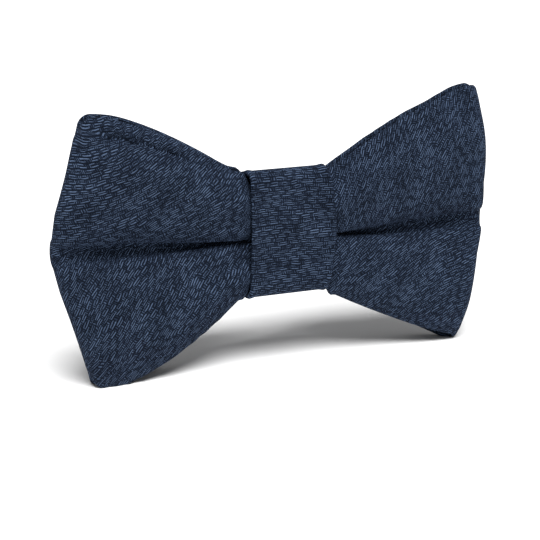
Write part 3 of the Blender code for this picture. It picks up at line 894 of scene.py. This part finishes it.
def even(path, spacing):
    """The path again, with points about that far apart, and the distance to each."""
    path = np.array(path, float)
    lengths = np.linalg.norm(np.diff(path, axis=0), axis=1)
    along = np.concatenate([[0], np.cumsum(lengths)])
    places = np.linspace(0, along[-1], int(along[-1] / spacing) + 1)
    return np.stack([np.interp(places, along, column) for column in path.T], axis=1), places


def path_normals(path):
    along = np.gradient(path, axis=0)
    along /= np.linalg.norm(along, axis=1, keepdims=True)
    return np.stack([-along[:, 1], along[:, 0]], axis=1)


def strip(centre, normal, across, half_thickness):
    """Rings round a flat strip. centre and normal are flat vectors for each ring; across holds each
    ring's places over the width, and half_thickness the strip's at each of them."""
    turns = rim_turns(3)
    rings = []
    for middle, out, widths, thick in zip(centre, normal, across, half_thickness):
        side = list(zip(widths, thick))
        side += [(widths[-1] + thick[-1] * math.sin(t) * 0.8, thick[-1] * math.cos(t)) for t in turns]
        side += list(zip(widths[::-1], -thick[::-1]))
        side += [(widths[0] - thick[0] * math.sin(t) * 0.8, -thick[0] * math.cos(t)) for t in turns]
        rings.append([(width, *(middle + out * t)) for width, t in side])
    return np.array(rings)


def strip_uv(rings, along, faces):
    """Cloth places for a strip's faces: width over it, and length along it."""
    wide, long = np.broadcast_arrays(rings[:, :, 0], along[:, None])
    places = np.stack([wide, long], axis=-1).reshape(-1, 2)
    return [places[i] for face in faces for i in face]


def knot_cloth():
    """The knot: one strip round the waist, crowned in front, its folded edges rolled inwards."""
    middle = KNOT_CLOTH / 2
    inner_y = KNOT_BACK_Y - middle
    lapped = [(y, z) for z, y in eased((LAP_HIGH, inner_y), (LAP_LOW, FLAP_Y))]
    route = [(inner_y, INNER_END)] + knot_path(middle, KNOT_TURN) + lapped + [(FLAP_Y, FLAP_END)]
    path, along = even(route, 0.5)
    path = soften(path, 1)
    normal = -path_normals(path)
    front = step(-path[:, 0], *KNOT_FRONT)
    tall = (path[:, 1] - KNOT_BOTTOM) / (KNOT_TOP - KNOT_BOTTOM)
    belly = np.sin(np.pi * np.clip(tall, 0, 1))
    corner = step(tall, 0.84, 1.0)
    spread = np.sin(np.linspace(-1, 1, 41) * math.pi / 2)
    share = np.abs(spread)
    turns = rim_turns(4)

    def edge_out(side, k):
        at_belly, along_it, at_corner = EDGES_OUT[side]
        return KNOT_HALF - EDGE_INSET + front[k] * (at_belly * belly[k] + along_it + at_corner * corner[k])

    def rounded(ends, side):
        mid, half = ends.mean(axis=0), (ends[0] - ends[1]) / 2
        return [mid + half * math.cos(t) + np.array((side * EDGE_ROUND * math.sin(t), 0, 0)) for t in turns]

    rings = []
    for k in range(len(path)):
        right, left = edge_out(RIGHT, k), edge_out(LEFT, k)
        x = spread * (right + left) / 2 + (right - left) / 2
        rise = front[k] * (CROWN * (1 - share**2)) - EDGE_ROLL * step(share, 0.78, 1.0) * front[k]
        rise += front[k] * KNOT_RIPPLE * np.sin(x * 0.55 + 0.1 * path[k, 1])
        outer = [(a, *(path[k] + normal[k] * (middle + b))) for a, b in zip(x, rise)]
        inner = [(a, *(path[k] + normal[k] * (-middle + min(b, 0.0)))) for a, b in zip(x, rise)]
        high = rounded(np.array((outer[-1], inner[-1])), RIGHT)
        low = rounded(np.array((inner[0], outer[0])), LEFT)
        rings.append(outer + high + inner[::-1] + low)
    rings = np.array(rings)
    faces = closed_run(*rings.shape[:2])
    return add_piece("knot_cloth", rings, faces, bow_finish, strip_uv(rings, along, faces))


def knot_lining():
    """The knot's stiffening, between its cloth and the waist, and its length."""
    path, _ = even(knot_path(KNOT_CLOTH + GAP + KNOT_CANVAS / 2, LINING_TURN), LINING_STEP)
    path = path[LINING_TRIM:-LINING_TRIM]
    across = np.tile(np.linspace(-1, 1, 13) * LINING_HALF, (len(path), 1))
    rings = strip(path, -path_normals(path), across, np.full(across.shape, KNOT_CANVAS / 2))
    made = add_piece("knot_lining", rings, flat_run(*rings.shape[:2]), canvas_finish)
    return made, len(path) * LINING_STEP


# Neck band

TAPE = 0.9
LAYER_Y = (3.1, 4.9, 6.7, 9.3)
OUTER_TURN, INNER_TURN = 47.0, 16.5  # where the layers fold, from the middle
BAR_X = 15.2  # the end loops' turn round the hook's bar and the eye's
BAR_TURN = 1.5
BAR_REACH = 1.8  # how far the tape runs back past that turn
ADJUSTER_TURN = 1.45
BAR_Y = LAYER_Y[3] + BAR_TURN
ADJUSTER_Y = LAYER_Y[3] + TAPE + GAP + ADJUSTER_TURN
RETURN_RISE_X = -24.0  # where the doubled tape starts to rise to the adjuster
RETURN_END = 7.0  # how far it runs back from the adjuster, under itself
STITCH, STITCH_PITCH, STITCH_INSET = 1.9, 2.7, 1.3
STITCH_HALF, STITCH_SUNK, STITCH_RISE = 0.17, 0.2, 0.16
HEM = 2.6


def folded_half(side):
    first, second, third, fourth = LAYER_Y
    path = [(0.0, first)]
    turns = (
        (OUTER_TURN, first, second, -90, 90),
        (INNER_TURN, second, third, -90, -270),
        (OUTER_TURN, third, fourth, -90, 90),
    )
    for x, low, high, start, end in turns:
        path += arc((x, (low + high) / 2), (high - low) / 2, start, end, 12)
    path += arc((BAR_X, BAR_Y), BAR_TURN, -90, -270, 16)
    return [(side * x, y) for x, y in path]


def neck_band_path():
    rest, start = LAYER_Y[3] + TAPE + GAP, BAR_Y + BAR_TURN
    left = folded_half(LEFT) + [(-BAR_X - BAR_REACH, start)]
    return_end = eased((BAR_X + 1.5, start), (BAR_X + 8.0, rest)) + [(BAR_X + 13.0, rest)]
    return left[::-1] + folded_half(RIGHT)[1:] + return_end


def band_return_path():
    start, top = BAR_Y + BAR_TURN, ADJUSTER_Y + ADJUSTER_TURN
    path = [(-BAR_X - BAR_REACH - GAP, start)] + eased((RETURN_RISE_X, start), (ADJUSTER_X, top))[:-1]
    path += arc((ADJUSTER_X, ADJUSTER_Y), ADJUSTER_TURN, 90, 270, 16)
    return path + [(ADJUSTER_X + RETURN_END, ADJUSTER_Y - ADJUSTER_TURN)]


def tape_strip(name, route):
    """Cloth tape along a path in the XY plane, thicker at its hems, and the tape's length."""
    path, along = even(route, 0.6)
    middle_z = (TAPE_LOW + TAPE_HIGH) / 2
    half = (TAPE_HIGH - TAPE_LOW) / 2 - TAPE * 0.4
    width = np.sin(np.linspace(-1, 1, 27) * math.pi / 2) * half
    from_middle = np.abs(width)
    seam = half - STITCH_INSET
    hem = 0.06 * step(from_middle, half - HEM, half - 2.0) - 0.1 * hump(from_middle, seam, 0.4)
    thick = np.tile(TAPE / 2 - 0.06 + hem, (len(path), 1))
    dimple = 0.03 * np.cos(2 * math.pi * along / STITCH_PITCH)[:, None] * hump(from_middle, seam, 0.8)
    rings = strip(path, path_normals(path), np.tile(width, (len(path), 1)), thick + dimple)
    faces = closed_run(*rings.shape[:2], flip=True)
    points = np.stack([rings[:, :, 1], rings[:, :, 2], rings[:, :, 0] + middle_z], axis=-1)
    return add_piece(name, points, faces, tape_finish, strip_uv(rings, along, faces)), along[-1]


def edge_stitches(name, route):
    """Rows of short stitches along both edges of a tape, on both of its faces."""
    path, along = even(route, 0.45)
    normal = path_normals(path)
    inset = STITCH_INSET + 0.35
    rows = [(z, face) for z in (TAPE_LOW + inset, TAPE_HIGH - inset) for face in (1, -1)]
    points, faces = [], []
    rings, sides = 5, 6
    for start in np.arange(1.0, along[-1] - STITCH - 1.0, STITCH_PITCH):
        for z, face in rows:
            faces += closed_run(rings, sides, len(points))
            for t in np.linspace(0, 1, rings):
                reached = start + STITCH * t
                centre = np.array([np.interp(reached, along, column) for column in path.T])
                out = np.array([np.interp(reached, along, column) for column in normal.T])
                raised = math.sqrt(max(1 - (2 * t - 1) ** 4, 0.0))
                centre = centre + face * out * (TAPE / 2 - STITCH_SUNK + STITCH_RISE * raised)
                radius = STITCH_HALF * (0.35 + 0.65 * raised)
                for j in range(sides):
                    turn = 2 * math.pi * j / sides
                    flat = centre + out * radius * math.cos(turn)
                    points.append((*flat, z + radius * math.sin(turn)))
    return add_piece(name, points, faces, thread_finish)


def whip_stitch():
    """One thread that closes the knot's lap, over and over its edge."""
    stitches, pitch = 9, 2.1
    over = FLAP_Y + KNOT_CLOTH / 2 + GAP / 2 + THREAD / 2
    under = KNOT_BACK_Y + GAP / 2 + THREAD / 2
    between = over - 0.6
    loop = (  # how far to the right, depth, and height above the flap's end
        (0, over, 1.8), (0, over, 0.2), (0.1, between, -0.5), (0.3, under, -1.2),
        (0.6, under, -2.0), (1.0, under, -1.2), (1.4, between, -0.5), (1.6, over, 0.2),
    )
    points = []
    for i in range(stitches):
        start = (i - (stitches - 1) / 2) * pitch
        points += [(start + right, y, FLAP_END + up) for right, y, up in loop]
    return soft_thread("whip_stitch", points, THREAD / 2)


def soft_thread(name, points, radius):
    """A round thread through points in millimetres."""
    curve = bpy.data.curves.new(name, "CURVE")
    curve.dimensions = "3D"
    curve.bevel_depth = radius * MM
    curve.bevel_resolution = 3
    curve.use_fill_caps = True
    spline = curve.splines.new("NURBS")
    spline.points.add(len(points) - 1)
    for place, (x, y, z) in zip(spline.points, points):
        place.co = (x * MM, (y - MIDDLE_Y) * MM, z * MM, 1)
    spline.order_u = 3
    spline.use_endpoint_u = True
    spline.resolution_u = 6
    curve.materials.append(thread_finish)
    return add_object(name, curve)


# Camera, floor and light

CAMERA_AIM = (-1.49, -1.925, 22.83)
CAMERA_TURN, CAMERA_TILT = 24.13, 14.68  # degrees to the bow's left, and above it
CAMERA_DISTANCE = 430.5
LENS, SENSOR = 112.1, 36.0
FLOOR_HALF, FLOOR_BACK = 4, 6  # in metres
SUN_FROM, SUN_SPREAD, SUN_STRENGTH = (-0.2, -0.9, 1.65), 38.0, 5.1  # a wide sun, in degrees
WORLD_STRENGTH = 0.3


def camera_and_stage():
    """The camera looks down on the bow from its left, in a plain, pale studio."""
    turn, tilt = math.radians(CAMERA_TURN), math.radians(CAMERA_TILT)
    back = np.array((-math.sin(turn) * math.cos(tilt), -math.cos(turn) * math.cos(tilt), math.sin(tilt)))
    data = bpy.data.cameras.new("photo_camera")
    data.lens, data.sensor_width = LENS, SENSOR
    data.clip_start, data.clip_end = 0.01, 20.0
    camera = add_object("photo_camera", data)
    camera.location = np.array(CAMERA_AIM) * MM + back * (CAMERA_DISTANCE * MM)
    camera.rotation_mode = "QUATERNION"
    camera.rotation_quaternion = Vector(-back).to_track_quat("-Z", "Y")
    bpy.context.scene.camera = camera

    g = Graph("studio_floor")
    fine = g.noise(g.object_mm(), 0.05)
    pale = g.ramp(fine, [(0.0, (0.88, 0.88, 0.88)), (1.0, (0.92, 0.92, 0.92))])
    near = [(-FLOOR_HALF, -FLOOR_HALF, 0), (FLOOR_HALF, -FLOOR_HALF, 0)]
    far = [(FLOOR_HALF, FLOOR_BACK, 0), (-FLOOR_HALF, FLOOR_BACK, 0)]
    mesh = bpy.data.meshes.new("studio_floor")
    mesh.from_pydata(near + far, [], [(0, 1, 2, 3)])
    mesh.materials.append(g.set(Base_Color=pale, Roughness=0.9, Specular_IOR_Level=0.1))
    floor = add_object("studio_floor", mesh)

    world = bpy.data.worlds.new("studio_white")
    world.use_nodes = True
    background = world.node_tree.nodes["Background"]
    background.inputs["Color"].default_value = (1, 1, 1, 1)
    background.inputs["Strength"].default_value = WORLD_STRENGTH
    bpy.context.scene.world = world

    data = bpy.data.lights.new("overhead", "SUN")
    data.angle = math.radians(SUN_SPREAD)
    data.energy = SUN_STRENGTH
    sun = add_object("overhead", data)
    sun.rotation_mode = "QUATERNION"
    sun.rotation_quaternion = (-Vector(SUN_FROM)).to_track_quat("-Z", "Y")
    bpy.context.scene.view_settings.view_transform = "Standard"


def assign(piece, body, slot, *nodes):
    """The piece rides on that body and stands for those CAD nodes, which it hides. slot is not used."""
    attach(piece, body)
    if nodes:
        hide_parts(*nodes)
    return piece


camera_and_stage()
wings = assign(bow_cloth(), "bow", "navy_hopsack", "bow_sleeve")
lining = assign(bow_canvas(), "bow", "canvas", "bow_interlining")
knot = assign(knot_cloth(), "bow", "navy_hopsack", "knot_band")
stiffening, stiffening_length = knot_lining()
assign(stiffening, "bow", "canvas", "knot_interlining")
assign(whip_stitch(), "bow", "navy_thread", "knot_whip_stitch")
band, band_length = tape_strip("neck_tape", neck_band_path())
assign(band, "band", "navy_band_cotton", "neck_band")
assign(edge_stitches("neck_tape_stitches", neck_band_path()), "band", "navy_thread")
doubled, doubled_length = tape_strip("tape_return", band_return_path())
doubled_stitches = edge_stitches("tape_return_stitches", band_return_path())
for piece, slot in ((doubled, "navy_band_cotton"), (doubled_stitches, "navy_thread")):
    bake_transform(piece)
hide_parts("band_return")

WORN_EDGE = 0.12
node_finishes = {
    "waist_binding": thread_finish, "adjuster": steel_finish, "hook": steel_finish, "eye": steel_finish,
}
for node_name, finish in node_finishes.items():
    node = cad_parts[node_name]
    node.data.materials.clear()
    node.data.materials.append(finish)
    if finish == steel_finish:
        worn = node.modifiers.new("Stamped edges", "BEVEL")
        worn.width = WORN_EDGE * MM
        worn.segments = 2
        worn.limit_method = "ANGLE"
